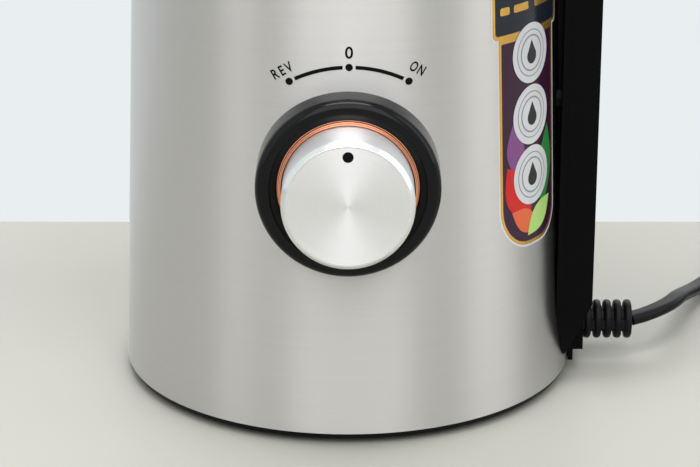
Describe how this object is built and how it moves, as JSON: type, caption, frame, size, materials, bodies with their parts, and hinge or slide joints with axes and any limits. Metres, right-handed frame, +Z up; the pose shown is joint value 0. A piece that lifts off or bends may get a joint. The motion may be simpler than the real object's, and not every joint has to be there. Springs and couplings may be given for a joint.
{
  "type": "cold press juicer",
  "caption": "Vertical cold press juicer: brushed steel motor base with a rotary switch, rear spine and handle, clear bowl with strainer and auger, feed tube and pusher.",
  "frame": {"origin": "on the drive axis, at the plane that the feet stand on", "axes": "+Z up along the drive axis, the rotary switch faces -Y, the rear spine and handle are on the +X side"},
  "size_m": [0.3377, 0.2223, 0.4523],
  "materials": {
    "black_plastic": "moulded, satin gloss",
    "dark_plastic": "moulded, fine matt grain",
    "soft_rubber": "matt rubber",
    "brushed_steel": "brushed round the body",
    "zinc_screw": "zinc plated",
    "piano_black": "high gloss",
    "copper_trim": "copper coloured anodised ring",
    "spun_aluminium": "face spun, side polished",
    "pointer_black": "matt dot",
    "bright_steel": "ground steel",
    "lamination_steel": "varnished laminations",
    "copper_wire": "enamelled copper wire",
    "cast_bracket": "die cast",
    "carbon": "pressed carbon",
    "grey_plastic": "glass filled moulding",
    "gear_plastic": "natural acetal",
    "sintered_steel": "sintered steel",
    "circuit_board": "soldered board",
    "wire_sheath": "wire sheath",
    "cord_sheath": "cord sheath",
    "plug_plastic": "moulded plug",
    "pin_brass": "nickelled brass",
    "clear_bowl": "clear moulded copolyester",
    "silicone": "translucent silicone",
    "red_silicone": "silicone seal",
    "steel_mesh": "etched steel screen",
    "smoke_lid": "gloss moulding"
  },
  "bodies": {
    "base": {"base_tray": "dark_plastic", "rubber_feet": "soft_rubber", "base_screws": "zinc_screw", "steel_sleeve": "brushed_steel", "inner_casing": "dark_plastic", "top_deck": "black_plastic", "shaft_seal": "red_silicone", "spine_frame": "black_plastic", "spine_cover": "black_plastic", "spine_screws": "zinc_screw", "cord_outlet": "black_plastic", "handle_grip": "soft_rubber", "knob_bezel": "piano_black", "knob_trim_ring": "copper_trim", "switch_body": "dark_plastic", "switch_nut": "zinc_screw", "stator_core": "lamination_steel", "stator_windings": "copper_wire", "motor_upper_bracket": "cast_bracket", "motor_lower_bracket": "cast_bracket", "motor_bolts": "zinc_screw", "rotor_bearings": "bright_steel", "carbon_brushes": "carbon", "gearbox_housing": "grey_plastic", "gearbox_cover": "grey_plastic", "gear_pins": "bright_steel", "output_bearing": "bright_steel", "control_board": "circuit_board", "lead_wires": "wire_sheath", "strain_relief": "cord_sheath", "power_cord": "cord_sheath", "cord_coil": "cord_sheath", "cord_tie": "plug_plastic", "mains_plug": "plug_plastic", "plug_pins": "pin_brass"},
    "knob": {"knob_cap": "spun_aluminium", "knob_core": "dark_plastic", "knob_pointer": "pointer_black", "switch_shaft": "bright_steel"},
    "rotor": {"rotor_core": "lamination_steel", "rotor_shaft": "bright_steel", "commutator": "copper_wire", "cooling_fan": "grey_plastic"},
    "first_gear": {"first_gear": "gear_plastic"},
    "second_gear": {"second_gear": "gear_plastic"},
    "drive": {"output_gear": "sintered_steel", "drive_shaft": "bright_steel"},
    "bowl": {"juicing_bowl": "clear_bowl", "bowl_seal": "silicone", "cap_hinge_pin": "bright_steel", "strainer_frame": "dark_plastic", "strainer_mesh": "steel_mesh"},
    "juice_cap": {"juice_cap": "black_plastic"},
    "wiper": {"wiper_frame": "dark_plastic", "wiper_blades": "silicone"},
    "idler": {"idler_gear": "gear_plastic"},
    "auger": {"auger": "dark_plastic"},
    "lid": {"lid": "smoke_lid", "lid_seal": "silicone"},
    "pusher": {"pusher": "smoke_lid"}
  },
  "joints": [
    {"name": "knob_turn", "type": "hinge", "parent": "base", "child": "knob", "pos_m": [0, -0.09, 0.092], "axis": [0, -1, 0], "range_deg": [-30, 30]},
    {"name": "rotor_spin", "type": "hinge", "parent": "base", "child": "rotor", "pos_m": [-0.01834, -0.00132, 0.084], "axis": [0, 0, 1], "continuous": true},
    {"name": "first_gear_spin", "type": "hinge", "parent": "base", "child": "first_gear", "pos_m": [-0.02819, 0.02574, 0.134], "axis": [0, 0, 1], "continuous": true},
    {"name": "second_gear_spin", "type": "hinge", "parent": "base", "child": "second_gear", "pos_m": [0, 0.036, 0.144], "axis": [0, 0, 1], "continuous": true},
    {"name": "drive_spin", "type": "hinge", "parent": "base", "child": "drive", "pos_m": [0, 0, 0.158], "axis": [0, 0, 1], "continuous": true},
    {"name": "bowl_lift", "type": "slide", "parent": "base", "child": "bowl", "axis": [0, 0, 1], "range_m": [0, 0.12]},
    {"name": "juice_cap_swing", "type": "hinge", "parent": "bowl", "child": "juice_cap", "pos_m": [-0.088, 0, 0.2482], "axis": [0, 1, 0], "range_deg": [0, 100]},
    {"name": "wiper_spin", "type": "hinge", "parent": "bowl", "child": "wiper", "pos_m": [0, 0, 0.227], "axis": [0, 0, 1], "continuous": true},
    {"name": "idler_spin", "type": "hinge", "parent": "bowl", "child": "idler", "pos_m": [-0.021, 0, 0.227], "axis": [0, 0, 1], "continuous": true},
    {"name": "auger_spin", "type": "hinge", "parent": "bowl", "child": "auger", "pos_m": [0, 0, 0.28], "axis": [0, 0, 1], "continuous": true},
    {"name": "lid_turn", "type": "hinge", "parent": "bowl", "child": "lid", "pos_m": [0, 0, 0.345], "axis": [0, 0, 1], "range_deg": [-40, 0]},
    {"name": "pusher_slide", "type": "slide", "parent": "lid", "child": "pusher", "axis": [0, 0, 1], "range_m": [0, 0.14]}
  ],
  "couplings": [
    {"joint": "first_gear_spin", "follows": "rotor_spin", "ratio": -0.2},
    {"joint": "second_gear_spin", "follows": "rotor_spin", "ratio": 0.05},
    {"joint": "drive_spin", "follows": "rotor_spin", "ratio": -0.016667},
    {"joint": "auger_spin", "follows": "rotor_spin", "ratio": -0.016667},
    {"joint": "idler_spin", "follows": "rotor_spin", "ratio": 0.022222},
    {"joint": "wiper_spin", "follows": "rotor_spin", "ratio": 0.0066667}
  ]
}
